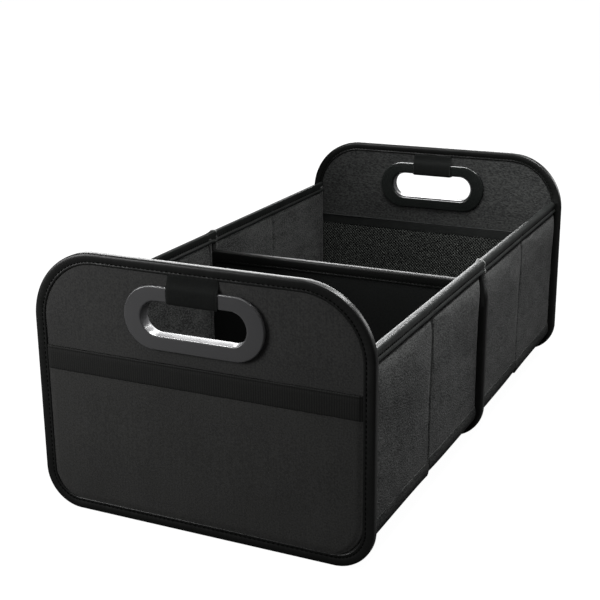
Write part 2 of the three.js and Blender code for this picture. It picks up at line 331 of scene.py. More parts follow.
def edge_tape(panel, body, top_radius, width, seed):
    """The folded tape and both rows of stitches round one panel."""
    low, high = mm_box(f"{panel}_binding")
    middle, half = (low[1] + high[1]) / 2, (high[1] - low[1]) / 2
    face = half - TAPE_THICKNESS
    path, ways, along = edge_path(high[0], high[2], top_radius, TAPE_STEP)
    seam = width - SEAM_INSET
    front = [
        (1.7, face - 0.3, 0), (width, face - 0.5, 0), (width + 0.1, face + 0.45, 0.2),
        (width - 0.5, face + 0.78, 0.3), (width - 1.5, face + 0.84, 0.3), (seam + 0.4, face + 0.72, 0.6),
        (seam, face + 0.66, 0.6), (seam - 0.4, face + 0.72, 0.6), (seam - 1.3, face + 0.95, 0.4),
        (seam - 3.0, half - 0.05, 0.3), (3.0, half + 0.05, 0.2), (1.5, half, 0.1), (0.75, half - 0.3, 0),
        (0.3, half - 0.85, 0), (0.08, half - 1.7, 0), (0.0, half - 2.8, 0),
    ]
    section = np.array(front + [(inset, -depth, -pull) for inset, depth, pull in reversed(front)])
    dimple = 0.2 * (0.5 + 0.5 * np.cos(2 * np.pi * along / STITCH_PITCH))
    pucker = 0.18 * ripple(along, 0 * along, seed, 9, 40)
    wander = 0.3 * ripple(along, 0 * along, seed + 1, 60, 300)
    rings = np.zeros((len(path), len(section), 3))
    for k, (inset, depth, pull) in enumerate(section):
        share = inset / width
        inward = inset + share**3 * wander
        rings[:, k, 0] = path[:, 0] - ways[:, 0] * inward
        rings[:, k, 2] = path[:, 1] - ways[:, 1] * inward
        rings[:, k, 1] = middle + depth - pull * (dimple + pucker)
    tape = swept(
        f"{panel}_edge_tape", rings, True, black_webbing, "binding_tape", body, [f"{panel}_binding"]
    )
    stitches = np.arange(0, along[-1], STITCH_PITCH) + STITCH_PITCH / 2
    at = [np.interp(stitches, along, column) for column in (*path.T, *ways.T, wander)]
    inward = seam + (seam / width) ** 3 * at[4]
    x, z = at[0] - at[2] * inward, at[1] - at[3] * inward
    run = np.stack([-at[3], 0 * x, at[2]], 1)
    rows = []
    for heading in (-1, 1):
        points = np.stack([x, np.full_like(x, middle + heading * (face + 0.75)), z], 1)
        rows.append((points, run, np.array([0, heading, 0])))
    stitching(f"{panel}_edge_stitching", rows, body)
    return tape


END_TAPE_WIDTH = 10.5
DIVIDER_TAPE_WIDTH = 12.5
end_tape_only.objects.link(edge_tape("front", "front_panel", END_RADIUS, END_TAPE_WIDTH, 11))
end_tape_only.objects.link(edge_tape("rear", "rear_panel", END_RADIUS, END_TAPE_WIDTH, 12))
edge_tape("divider", "root", DIVIDER_RADIUS, DIVIDER_TAPE_WIDTH, 13)


# Panel cloth: smooth charcoal polyester, stretched over the grey board of an end panel and cut away round
# the grip. It is drawn down under the tape and the grip's flange and stands a little proud between them.
def polyester_cloth(name, shade, light, grain, streak, relief_depth, roughness, sheen):
    """Matt cloth of two shades, mixed by its threads and by faint long streaks; lengths are millimetres."""
    material, tree = new_material(name)
    place = add(tree, "TexCoord").outputs["Object"]
    spun = add(tree, "Mapping", Vector=place, Scale=[1 / (length * MM) for length in grain])
    threads = add(tree, "TexNoise", Vector=spun.outputs[0], Scale=1.0, Detail=2.0, Roughness=0.6)
    drawn = add(tree, "Mapping", Vector=place, Scale=[1 / (length * MM) for length in streak])
    streaks = add(tree, "TexNoise", Vector=drawn.outputs[0], Scale=1.0, Detail=2.0)
    clouds = add(tree, "TexNoise", Vector=place, Scale=1 / (60 * MM), Detail=2.0)
    soft = add(tree, "Math", {"operation": "ADD"}, i0=clouds.outputs["Fac"], i1=streaks.outputs["Fac"])
    mixed = add(
        tree, "Math", {"operation": "MULTIPLY_ADD"}, i0=threads.outputs["Fac"], i1=4.0, i2=soft.outputs[0]
    )
    share = add(tree, "MapRange", Value=mixed.outputs[0], From_Min=2.3, From_Max=3.7)
    colour = add(
        tree, "Mix", {"data_type": "RGBA"}, i0=share.outputs[0], i6=linear(shade), i7=linear(light)
    )
    relief = add(tree, "Bump", Strength=1.0, Distance=relief_depth * MM, Height=threads.outputs["Fac"])
    skin = add(
        tree, "BsdfPrincipled", Base_Color=colour.outputs[2], Roughness=roughness,
        Specular_IOR_Level=0.22, Normal=relief.outputs[0], Sheen_Weight=sheen, Sheen_Roughness=0.5,
    )
    add(tree, "OutputMaterial", Surface=skin.outputs[0])
    return material


FINE = (1.5, 1.5, 1.5)
ACROSS = (1.5, 1.5, 40)
LENGTHWISE = (30, 30, 1.6)
# Even charcoal with a fine thread grain, the flattest and smoothest cloth on the object.
panel_polyester = polyester_cloth(
    "smooth_charcoal_polyester", "#2b2b2b", "#3b3b3a", FINE, ACROSS, 0.15, 0.8, 0.02
)
# Mixed light and dark fibres, drawn out sideways, which read as a heather grey.
lining_felt = polyester_cloth(
    "melange_lining_felt", "#212222", "#424342", (3, 3, 1.7), LENGTHWISE, 0.6, 0.9, 0.05
)
GRIP_DROP = 49.0
HOLE = np.array([103.0, 33.0]) / 2
SHEET_RAYS, SHEET_RINGS = 200, 44
CLOTH = 0.8
TAPE_HIDES, GRIP_HIDES = 9, 13


def oval(half_length, half_height, turns):
    """Points of an oval with straight sides and round ends, on rays at the given turns."""
    straight = half_length - half_height
    ray = np.stack([np.cos(turns), np.sin(turns)], 1)
    flat = half_height / np.maximum(abs(ray[:, 1]), 1e-9)
    along = straight * abs(ray[:, 0])
    round_end = along + np.sqrt(np.maximum(along**2 - straight**2 + half_height**2, 0))
    distance = np.where(flat * abs(ray[:, 0]) <= straight, flat, round_end)
    return ray * distance[:, None]


def grid_faces(rows, columns, loop):
    """Faces of a grid of points; loop joins its last column to the first."""
    faces = []
    for r in range(rows - 1):
        here, after = r * columns, (r + 1) * columns
        for k in range(columns if loop else columns - 1):
            n = (k + 1) % columns
            faces.append((here + k, here + n, after + n, after + k))
    return faces


def closed_sheet(name, face, behind, loop, *finish):
    """A thin closed sheet. Face: grids of x, y and z. Behind: three more, or the back's way along Y."""
    grid = np.stack(face, 2)
    rows, columns = grid.shape[:2]
    back = np.stack(behind, 2) if np.ndim(behind) else grid + np.array([0, 1, 0]) * behind
    count = rows * columns
    faces = grid_faces(rows, columns, loop)
    faces += [tuple(i + count for i in reversed(f)) for f in faces]
    rim = [
        (r * columns + k, r * columns + (k + 1) % columns)
        for r in (0, rows - 1) for k in range(columns if loop else columns - 1)
    ]
    if not loop:
        rim += [(r * columns + k, (r + 1) * columns + k) for k in (0, columns - 1) for r in range(rows - 1)]
    faces += [(a, b, b + count, a + count) for a, b in rim]
    return piece_of(name, np.concatenate([grid.reshape(-1, 3), back.reshape(-1, 3)]), faces, *finish)


def end_cloth(panel, node, outward, material, proud, floor_of_crown, seed):
    """The cloth on one face of an end panel. Outward is the face's way along Y."""
    low, high = mm_box(f"{panel}_{node}")
    _, rim = mm_box(f"{panel}_binding")
    face = high[1] if outward > 0 else low[1]
    centre = high[2] + TAPE_THICKNESS - GRIP_DROP
    inset = 1.5
    path, _, _ = edge_path(rim[0] - inset, rim[2] - inset, END_RADIUS, 1.0)
    turns = np.linspace(0, 2 * np.pi, SHEET_RAYS, endpoint=False)
    around = np.arctan2(path[:, 1] - centre, path[:, 0]) % (2 * np.pi)
    order = np.argsort(around)
    far = np.interp(
        turns, around[order], np.hypot(path[order, 0], path[order, 1] - centre), period=2 * np.pi
    )
    near = np.hypot(*oval(*HOLE, turns).T)
    share = (np.linspace(0, 1, SHEET_RINGS) ** 1.15)[:, None]
    radius = near + (far - near) * share
    x = radius * np.cos(turns)
    z = centre + radius * np.sin(turns)
    from_tape = np.maximum(far - radius - TAPE_HIDES, 0)
    from_grip = np.maximum(radius - near - GRIP_HIDES, 0)
    raised = np.clip((z - floor_of_crown) / 25, 0, 1)
    crown = (1 - np.exp(-from_tape / 8)) * (1 - np.exp(-from_grip / 8)) * raised * proud
    uneven = 0.14 * ripple(x, z, seed, 40, 160) * raised
    sink = 0.35
    y = face + outward * (crown + uneven - sink * (1 - raised * 0.6))
    cloth = closed_sheet(
        f"{panel}_{node}_cloth", (x, y, z), -outward * CLOTH, True, material, "panel_fabric",
        f"{panel}_panel", [f"{panel}_{node}"],
    )


_, pocket_top = mm_box("front_pocket_band")
_, hem_top = mm_box("rear_mesh_hem")
end_cloth("front", "outer_cover", -1, panel_polyester, 0.7, pocket_top[2], 21)
end_cloth("front", "lining", 1, lining_felt, 0.5, 30, 22)
end_cloth("rear", "outer_cover", 1, panel_polyester, 0.7, 10, 23)
end_cloth("rear", "lining", -1, lining_felt, 0.5, hem_top[2], 24)


# Grips: two oval shells of satin ABS, snapped together through the panel. The outer one carries the collar
# that lines the opening. Each has a flat face, a small bevel outside and a rolled lip round the fingers.
def moulded_abs(name, shade, roughness):
    material, tree = new_material(name)
    place = add(tree, "TexCoord").outputs["Object"]
    spark = add(tree, "TexNoise", Vector=place, Scale=1 / (0.5 * MM), Detail=2.0)
    haze = add(tree, "TexNoise", Vector=place, Scale=1 / (25 * MM), Detail=2.0)
    gloss = add(
        tree, "MapRange", Value=haze.outputs["Fac"], From_Min=0.3, From_Max=0.7, To_Min=roughness - 0.04,
        To_Max=roughness + 0.05,
    )
    relief = add(tree, "Bump", Strength=0.1, Distance=0.04 * MM, Height=spark.outputs["Fac"])
    skin = add(
        tree, "BsdfPrincipled", Base_Color=linear(shade), Roughness=gloss.outputs[0], IOR=1.53,
        Normal=relief.outputs[0],
    )
    add(tree, "OutputMaterial", Surface=skin.outputs[0])
    return material


# Mid grey and even on its face, with a white light along every rounded edge.
grip_grey = moulded_abs("satin_grey_abs", "#4d4d4e", 0.22)
# The same plastic in black: a dark ring with a thin bright line round it.
grip_black = moulded_abs("satin_black_abs", "#0e100f", 0.22)
GRIP_TURNS = 160
OPENING = np.array([99.5, 29.5]) / 2


def grip_shell(panel, part, outward, section, material):
    """A shell swept round the oval. Section: share of the way from opening to rim, and height."""
    node = f"{panel}_grip_{part}"
    low, high = mm_box(node)
    centre = (low[2] + high[2]) / 2
    rim = np.array([high[0] - low[0], high[2] - low[2]]) / 2
    face = low[1] if outward < 0 else high[1]
    turns = np.linspace(0, 2 * np.pi, GRIP_TURNS, endpoint=False)
    rings = np.zeros((GRIP_TURNS, len(section), 3))
    for k, (share, height) in enumerate(section):
        ring = rounded_loop(*(OPENING + (rim - OPENING) * share), turns)
        rings[:, k, 0] = ring[:, 0]
        rings[:, k, 1] = face + outward * height
        rings[:, k, 2] = centre + ring[:, 1]
    shell = swept(f"{node}_shell", rings, True, material, "grip_plastic", f"{panel}_panel", [node])
    grips_only.objects.link(shell)


def rounded_loop(half_length, half_height, turns):
    """Evenly spaced points of an oval with straight sides and round ends."""
    straight = half_length - half_height
    arc, side = np.pi * half_height, 2 * straight
    total = 2 * (straight + arc) + side
    along = (turns / (2 * np.pi) * total + arc / 2) % total
    points = np.zeros((len(turns), 2))
    for i, s in enumerate(along):
        if s < arc:
            turn = s / half_height - np.pi / 2
            points[i] = (straight + half_height * math.cos(turn), half_height * math.sin(turn))
        elif s < arc + side:
            points[i] = (straight - (s - arc), half_height)
        elif s < 2 * arc + side:
            turn = (s - arc - side) / half_height + np.pi / 2
            points[i] = (-straight + half_height * math.cos(turn), half_height * math.sin(turn))
        else:
            points[i] = (-straight + s - 2 * arc - side, -half_height)
    return points


FLANGE = 3.5
COLLAR_END = -11.0
outer_section = [
    (0.03, COLLAR_END), (0.01, COLLAR_END + 0.15), (0.0, COLLAR_END + 0.6), (0.005, -8.5), (0.02, -5.0),
    (0.04, -2.2), (0.05, -1.0), (0.06, -0.45), (0.085, -0.12), (0.12, 0.0), (0.15, 0.0), (0.91, 0.0),
    (0.935, -0.04), (0.965, -0.24), (0.985, -0.6), (0.996, -1.0), (1.0, -1.5), (1.0, -2.4),
    (1.0, -FLANGE), (0.98, -FLANGE - 0.1), (0.09, -FLANGE - 0.1), (0.09, COLLAR_END),
]
inner_section = [
    (0.1, -FLANGE), (0.097, -2.4), (0.1, -1.4), (0.11, -0.8), (0.13, -0.35), (0.16, -0.08), (0.19, 0.0),
    (0.22, 0.0), (0.91, 0.0), (0.935, -0.04), (0.965, -0.24), (0.985, -0.6), (0.996, -1.0), (1.0, -1.5),
    (1.0, -2.4), (1.0, -FLANGE),
]
for panel, outward in (("front", -1), ("rear", 1)):
    grip_shell(panel, "outer", outward, outer_section, grip_grey)
    grip_shell(panel, "inner", -outward, inner_section, grip_black)


# Grip tab: a strip of smooth coated tape, sewn in under the edge tape on both faces. It lies over the upper
# bar of the grip and wraps through the opening, so that the shells can't rattle.
# Dead black and smooth, with no weave to be seen.
tab_tape = polyester_cloth("smooth_coated_tape", "#0a0c0b", "#121413", FINE, ACROSS, 0.08, 0.9, 0.0)
TAB_THICKNESS = 1.0


def grip_tab(panel):
    low, high = mm_box(f"{panel}_grip_tab")
    _, grip_high = mm_box(f"{panel}_grip_outer")
    middle, out = (low[1] + high[1]) / 2, (high[1] - low[1]) / 2
    bottom, bar_top, top = low[2], grip_high[2] + 0.6, high[2] + 2.0
    face = 2.9
    line = [
        (face, top), (face + 0.2, top - 2.5), (face + 0.5, bar_top + 5.5), (face + 1.1, bar_top + 3.2),
        (out - 2.6, bar_top + 1.4), (out - 1.5, bar_top + 0.2), (out - 0.95, bar_top - 1.6),
        (out - 0.75, bar_top - 3.4), (out - 0.7, (bar_top + bottom) / 2), (out - 0.75, bottom + 3.2),
        (out - 1.2, bottom + 1.4), (out - 2.4, bottom + 0.5), (out - 4.5, bottom + 0.25),
    ]
    line = np.array(line + [(-depth, z) for depth, z in reversed(line)])
    run = np.gradient(line, axis=0)
    side = np.stack([run[:, 1], -run[:, 0]], 1)
    side /= np.linalg.norm(side, axis=1)[:, None]
    columns = np.linspace(low[0], high[0], 26)
    edge = np.clip((high[0] - abs(columns)) / 1.2, 0, 1)
    rounding = np.sqrt(1 - (1 - edge) ** 2) * 0.5 * TAB_THICKNESS
    outer, inner = [], []
    for column, half in zip(columns, rounding):
        x = np.full(len(line), column)
        uneven = 0.12 * ripple(line[:, 1], x, 31, 18, 70)
        outer.append(np.column_stack([x, line - side * (half + uneven)[:, None]]))
        inner.append(np.column_stack([x, line + side * (half - uneven)[:, None]]))
    rings = np.stack(outer + inner[::-1], 1)
    rings[:, :, 1] += middle
    node = f"{panel}_grip_tab"
    swept(f"{node}_tape", rings, False, tab_tape, "binding_tape", f"{panel}_panel", [node])


grip_tab("front")
grip_tab("rear")


# Front pocket: a flat polyester sheet closed at the sides and bottom by the edge tape, with a ribbed
# elastic band sewn along its mouth. The band draws the mouth to the panel, and the cloth below fills a bit.
# The panel's charcoal, a shade browner and darker.
pocket_polyester = polyester_cloth("pocket_polyester", "#2a2a29", "#393938", FINE, ACROSS, 0.15, 0.82, 0.02)
_, end_high = mm_box("front_binding")
_, pocket_high = mm_box("front_pocket")
band_low, _ = mm_box("front_pocket_band")
TAPE_COVER = 8.5


def covered_reach(z, high, top_radius):
    """How far the cloth inside the edge tape reaches to the side at each height of a panel."""
    z, top = z - TAPE_COVER, high[2] - 2 * TAPE_COVER
    low_corner = LOW_RADIUS - np.sqrt(np.maximum(LOW_RADIUS**2 - np.maximum(LOW_RADIUS - z, 0) ** 2, 0))
    above = np.maximum(z - top + top_radius, 0)
    top_corner = top_radius - np.sqrt(np.maximum(top_radius**2 - above**2, 0))
    return high[0] - TAPE_COVER - low_corner - top_corner


def covered_grid(low_z, high_z, rows, columns, high=end_high, top_radius=END_RADIUS):
    """Places over a panel between its edge tapes, and how far they reach to the side."""
    z = np.linspace(low_z, high_z, rows)[:, None] * np.ones(columns)
    side = covered_reach(z, high, top_radius)
    return np.linspace(-1, 1, columns) * side, z, side


def freed(past_tape, over):
    """0 where a piece is held under the edge tape, and 1 where it lies free of it."""
    free = np.clip((past_tape - 1.8) / over, 0, 1)
    return free**2 * (3 - 2 * free)


x, z, side = covered_grid(TAPE_COVER, band_low[2] + 2, 60, 160)
share = (z - TAPE_COVER) / (band_low[2] - TAPE_COVER)
sides = 1 - (abs(x) / (end_high[0] - TAPE_COVER)) ** 8
fill = np.sin(np.pi * np.clip(share, 0, 1) ** 1.3) ** 0.8 * sides
proud = 0.95 + 0.9 * fill + 0.22 * sides * ripple(x, z * 0.5, 41, 45, 190)
y = pocket_high[1] + 0.2 - proud * freed(np.minimum(side - abs(x), z - TAPE_COVER), 5)
pocket_cloth = closed_sheet(
    "front_pocket_cloth", (x, y, z), CLOTH * 0.8, False, pocket_polyester, "panel_fabric", "front_panel",
    ["front_pocket"],
)

# Near black with fine upright ribs, drawn at 2.2 mm where real ones are about 1 mm.
elastic, tree = new_material("ribbed_black_elastic")
ELASTIC_RIB = 2.2
place = add(tree, "TexCoord").outputs["Object"]
ribs = add(
    tree, "TexWave", {"wave_type": "BANDS", "bands_direction": "X"}, Vector=place,
    Scale=0.314 / (ELASTIC_RIB * MM), Distortion=0.6, Detail=2.0, Detail_Scale=30.0,
)
fuzz = add(tree, "TexNoise", Vector=place, Scale=1 / (0.9 * MM), Detail=3.0)
height = add(tree, "Math", {"operation": "MULTIPLY"}, i0=ribs.outputs["Fac"], i1=fuzz.outputs["Fac"])
colour = add(
    tree, "Mix", {"data_type": "RGBA"}, i0=height.outputs[0], i6=linear("#0d0d0d"), i7=linear("#262724")
)
relief = add(tree, "Bump", Strength=0.5, Distance=0.3 * MM, Height=height.outputs[0])
skin = add(
    tree, "BsdfPrincipled", Base_Color=colour.outputs[2], Roughness=0.7, Specular_IOR_Level=0.25,
    Normal=relief.outputs[0],
)
add(tree, "OutputMaterial", Surface=skin.outputs[0])


def soft_band(name, node, bead, *finish):
    """A sewn band across a panel, rolled over at both edges, with a bead of its own along the top."""
    low, high = mm_box(node)
    rows = np.array([0, 0.01, 0.03, 0.07, 0.14, 0.3, 0.5, 0.7, 0.86, 0.9, 0.93, 0.96, 0.985, 1.0])
    lift = np.array([0.1, 0.6, 0.85, 0.95, 1, 1.02, 1.03, 1.02, 1, 0.85, 1 + bead, 1 + bead, 0.9, 0.2])
    columns = np.linspace(-1, 1, 240)
    z = low[2] + (high[2] - low[2]) * rows[:, None] * np.ones(len(columns))
    side = covered_reach(z, end_high, END_RADIUS)
    x = columns * side
    depth = (high[1] - low[1]) * lift[:, None] + 0.16 * ripple(x, z * 0.3, 51, 30, 160)
    y = high[1] - (depth * freed(side - abs(x), 4) + 0.05)
    return closed_sheet(name, (x, y, z), 0.8, False, *finish, [node])


band = soft_band("front_pocket_elastic", "front_pocket_band", 0.1, elastic, "elastic_band", "front_panel")


# Rear pocket: warp-knit mesh with open diamond cells, closed along its mouth by a folded hem of webbing.
# The knots stand a little proud and catch the light. Real cells are about 2 mm; these are coarser to show.
mesh_low, mesh_high = mm_box("rear_mesh_pocket")
hem_low, _ = mm_box("rear_mesh_hem")
# Soft dark grey tape, whose bead along the top is a thin lighter line.
hem_webbing = webbing("soft_charcoal_hem_webbing", "#121413", "#1f2120", 0.5, 0.4)
hem = soft_band("rear_mesh_hem_tape", "rear_mesh_hem", 0.9, hem_webbing, "binding_tape", "rear_panel")

# Black yarn with greyer fluff, so that the net twinkles over the black behind it.
knit_mesh, tree = new_material("warp_knit_polyester_mesh")
place = add(tree, "TexCoord").outputs["Object"]
fuzz = add(tree, "TexNoise", Vector=place, Scale=1 / (1.5 * MM), Detail=3.0)
share = add(tree, "MapRange", Value=fuzz.outputs["Fac"], From_Min=0.4, From_Max=0.65)
colour = add(
    tree, "Mix", {"data_type": "RGBA"}, i0=share.outputs[0], i6=linear("#0b0d0c"), i7=linear("#4c4f4b")
)
skin = add(tree, "BsdfPrincipled", Base_Color=colour.outputs[2], Roughness=0.7)
add(tree, "OutputMaterial", Surface=skin.outputs[0])

CELL = 3.9
STRAND = 0.62
KNOT = 0.6
NET_THICKNESS = 0.4


def knit_net(name, low, high, face):
    """An open net of diamonds: four quads round each opening, with the knots raised."""
    index, points, faces = {}, [], []

    def corner(x, z, raised):
        key = (round(x, 3), round(z, 3))
        if key not in index:
            index[key] = len(points)
            points.append((x, face - (KNOT if raised else 0), z))
        return index[key]

    half = CELL / 2
    columns = int((high[0] - low[0]) / half)
    rows = int((high[2] - low[2]) / half)
    for i in range(columns):
        for j in range(rows):
            if (i + j) % 2:
                continue
            x, z = low[0] + (i + 1) * half, low[2] + (j + 1) * half
            if abs(x) + half > covered_reach(z, end_high, END_RADIUS) or z + half > high[2] + 2:
                continue
            ways = [(1, 0), (0, 1), (-1, 0), (0, -1)]
            outer = [corner(x + half * a, z + half * b, True) for a, b in ways]
            hole = [corner(x + half * STRAND * a, z + half * STRAND * b, False) for a, b in ways]
            for k in range(4):
                n = (k + 1) % 4
                faces.append((outer[k], outer[n], hole[n], hole[k]))
    count = len(points)
    back = [(x, y + NET_THICKNESS, z) for x, y, z in points]
    edges = set()
    for quad in faces:
        edges.update(zip(quad, quad[1:] + quad[:1]))
    walls = [(b, a, a + count, b + count) for a, b in sorted(edges) if (b, a) not in edges]
    backs = [tuple(i + count for i in reversed(quad)) for quad in faces]
    return piece_of(
        name, points + back, faces + backs + walls, knit_mesh, "pocket_mesh", "rear_panel",
        ["rear_mesh_pocket"],
    )


# A black ground behind the net, seen through its openings; its near-black is also painted shade, the shade
# inside the pocket.
ground_cloth_painted_shade = polyester_cloth("black_pocket_ground_painted_shade", "#050605", "#0c0d0c", FINE, ACROSS, 0.1, 0.9, 0.0)
x, z, _ = covered_grid(TAPE_COVER, hem_low[2] + 1, 30, 60)
y = np.full_like(x, mesh_high[1] - 0.1)
ground = closed_sheet(
    "rear_pocket_ground_painted_shade", (x, y, z), -0.3, False, ground_cloth_painted_shade, "panel_fabric", "rear_panel"
)
net_low = np.array([mesh_low[0] - 2, 0, mesh_low[2] - 2])
net_high = np.array([mesh_high[0] + 2, 0, mesh_high[2] + 1])
net = knit_net("rear_mesh_net", net_low, net_high, mesh_low[1] + 0.1)


# Divider: the same board and cloth as an end panel, lower, between wide edge tapes. Its edge passes through
# the side walls and stands out of them, from under the wall's top tape down to a round foot.
# Near-black cloth: its darkness is painted shade, the shade inside both compartments.
divider_cloth_painted_shade = polyester_cloth("divider_polyester_painted_shade", "#070908", "#0e100f", FINE, ACROSS, 0.2, 0.8, 0.0)
_, divider_high = mm_box("divider_binding")


def divider_face(node, outward, seed):
    low, high = mm_box(node)
    top = divider_high[2] - TAPE_COVER
    x, z, side = covered_grid(TAPE_COVER, top, 36, 90, divider_high, DIVIDER_RADIUS)
    face = high[1] if outward > 0 else low[1]
    edge = np.minimum.reduce([side - abs(x), z - TAPE_COVER, top - z])
    crown = 0.5 * (1 - np.exp(-np.maximum(edge - 4, 0) / 8))
    y = face + outward * (crown - 0.3 + 0.15 * ripple(x, z, seed, 40, 150))
    cloth = closed_sheet(
        f"{node}_cloth", (x, y, z), -outward * 0.7, False, divider_cloth_painted_shade, "panel_fabric", "root", [node]
    )


divider_face("divider_front_cover", -1, 61)
divider_face("divider_rear_cover", 1, 62)


# Side walls: brushed felt sewn round two boards into one sleeve for each half of a wall. Between the boards
# a pressed crease lets it fold inward. The felt is full under the top tape and flat towards the bottom.
# Charcoal fibres laid in every direction: a soft grain that lightens where the wall swells up to the light.
FELT_GRAIN = (1.3, 2.7, 1.3)
wall_felt = polyester_cloth(
    "brushed_charcoal_felt", "#181919", "#555655", FELT_GRAIN, (8, 40, 8), 0.55, 0.92, 0.05
)
PINCH = 5.0
SWELL, SWELL_AT = 3.2, 20.0
TOP_TAPE = 12.0
GROOVE, GROOVE_LIP = 1.5, 0.9
CURL, CURL_REACH = 3.2, 9


class WallHalf:
    """Places on one half of a side wall, by u, the distance from the divider along the wall."""

    def __init__(self, side, end):
        self.side = 1 if side == "right" else -1
        self.heading = 1 if end == "rear" else -1
        self.name = f"{side}_{end}"
        self.inner, self.outer = f"{self.name}_inner", f"{self.name}_outer"
        near_low, near_high = mm_box(f"{self.inner}_cover")
        far_low, far_high = mm_box(f"{self.outer}_cover")
        spans = np.abs([near_low[1], near_high[1], far_low[1], far_high[1]])
        self.start, self.stop = spans.min(), spans.max()
        self.crease = np.sort(spans)[1:3].mean()
        self.middle = abs(near_low[0] + near_high[0]) / 2
        self.depth = (near_high[0] - near_low[0]) / 2
        self.low, self.high = near_low[2], near_high[2]
        _, tape_high = mm_box(f"{self.inner}_top_binding")
        tape_low, _ = mm_box(f"{self.inner}_bottom_binding")
        self.tape_depth = abs(tape_high[0] - (near_low[0] + near_high[0]) / 2)
        self.top, self.bottom = tape_high[2], tape_low[2]

    def point(self, out, u, z):
        """A point of the object, from its way out of the wall's middle plane, its u and its height."""
        return np.stack([self.side * (self.middle + out), self.heading * u, z], -1)

    def fold(self, piece):
        """Bakes the piece's placing into its mesh."""
        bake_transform(piece)


def close_to(values, place, steps, reach_mm):
    """The values with extra steps within reach of a place, so that a seam there is finely cut."""
    return np.unique(np.concatenate([values, place + np.linspace(-reach_mm, reach_mm, steps)]))


def wall_sleeve(wall, seed):
    u = close_to(np.linspace(wall.start, wall.stop, 120), wall.crease, 41, 8)
    u = close_to(u, wall.start + 3, 9, 3)
    u = close_to(u, wall.stop - 3, 9, 3)
    z = close_to(np.linspace(wall.low, wall.high, 44), wall.top - TOP_TAPE - 8, 16, 8)
    uu, zz = np.meshgrid(u, z, indexing="ij")
    seam = np.minimum.reduce([uu - wall.start, wall.stop - uu, abs(uu - wall.crease)])
    full = 1 - np.exp(-((seam / PINCH) ** 1.5))
    below = wall.top - TOP_TAPE - zz
    swell = np.maximum(below, 0) / SWELL_AT
    pillow = SWELL * swell * np.exp(1 - swell)
    foot = np.clip((zz - wall.bottom - 12) / 10, 0, 1)
    hidden = np.clip(below / 3 + 1, 0, 1) * foot
    edge_ripple = 0.12 * np.exp(-seam / 9) * ripple(zz, uu * 0.3, seed + 2, 14, 50)
    tucked = 1.5 * np.exp(-((np.maximum(below, 0) / 1.6) ** 2))
    fullness = {}
    for face, strength in ((1, 1.0), (-1, 0.6)):
        uneven = 0.2 * ripple(uu, zz, seed + face, 25, 120)
        out = wall.depth + ((pillow + 0.15) * strength * full + uneven * full + edge_ripple) * hidden
        room = wall.tape_depth - 0.05 + (np.minimum(2.0, 0.04 * abs(uu - wall.crease)) if face > 0 else 0)
        groove = GROOVE * np.exp(-(((uu - wall.crease - wall.heading * 0.6) / 1.0) ** 2))
        lit_edge = GROOVE_LIP * np.exp(-(((uu - wall.crease + wall.heading * 1.3) / 0.8) ** 2))
        ends = 0.5 * np.exp(-np.minimum(uu - wall.start, wall.stop - uu) / 1.2)
        fullness[face] = np.minimum(out, room) - groove + lit_edge * hidden - ends - tucked
    high_up = np.exp(-np.maximum(below, 0) / 10)
    curl = CURL * high_up * np.exp(-(((uu - wall.crease) / CURL_REACH) ** 2))
    parting = 3.6 if wall.heading < 0 else 2.4
    curl = curl + parting * np.exp(-np.maximum(below, 0) / 18) * np.exp(-(uu - wall.start) / 8)
    shifted = uu - wall.heading * curl
    front = wall.point(fullness[1], shifted, zz)
    back = wall.point(-fullness[-1], shifted, zz)
    rings = np.concatenate([front, back[:, ::-1]], axis=1)
    piece = swept(
        f"{wall.name}_wall_felt", rings, False, wall_felt, "wall_fabric", None,
        [f"{wall.inner}_cover", f"{wall.outer}_cover"],
    )
    wall.fold(piece)


# Dark grey tape, duller and paler than the black edge tape, that goes bright along its top.
wall_webbing = webbing("charcoal_wall_webbing", "#151716", "#282a29", 0.4, 0.45)


def wall_tape_section(wall):
    """The folded tape over a wall's top edge: a roll that falls off outwards, and a ridge low down."""
    half = wall.tape_depth
    ridge = [
        (-1.6, 0.3, 0), (-0.6, 0.1, 0), (0.3, 0.3, 0.1), (0.8, 0.8, 0.2), (0.95, 1.5, 0.2), (0.7, 2.4, 0.3),
        (0.15, 3.2, 0.6), (-0.4, 3.8, 1), (-0.5, 4.4, 1), (-0.4, 5.1, 0.7), (-0.2, 6.5, 0.4),
        (0.05, 7.8, 0.2),
    ]
    side = [(half + out, -TOP_TAPE + rise, pull) for out, rise, pull in ridge]
    roll = [
        (half - 0.15, -3.1, 0.1), (half - 0.65, -2.0, 0), (half - 1.5, -1.1, 0), (half - 2.6, -0.5, 0),
        (half - 3.9, -0.15, 0), (half - 5.0, 0, 0), (0.8 - half, -0.05, 0), (0.3 - half, -0.35, 0),
        (0.05 - half, -1.0, 0), (-half, -2.2, 0),
    ]
    outside = side + roll + [(-out, z, pull) for out, z, pull in reversed(side)]
    lining = [(-half + 1.2, -TOP_TAPE + 0.8, 0), (-half + 1.2, -3.2, 0), (half - 1.2, -3.2, 0)]
    return np.array(outside + lining + [(half - 1.2, -TOP_TAPE + 0.8, 0)])


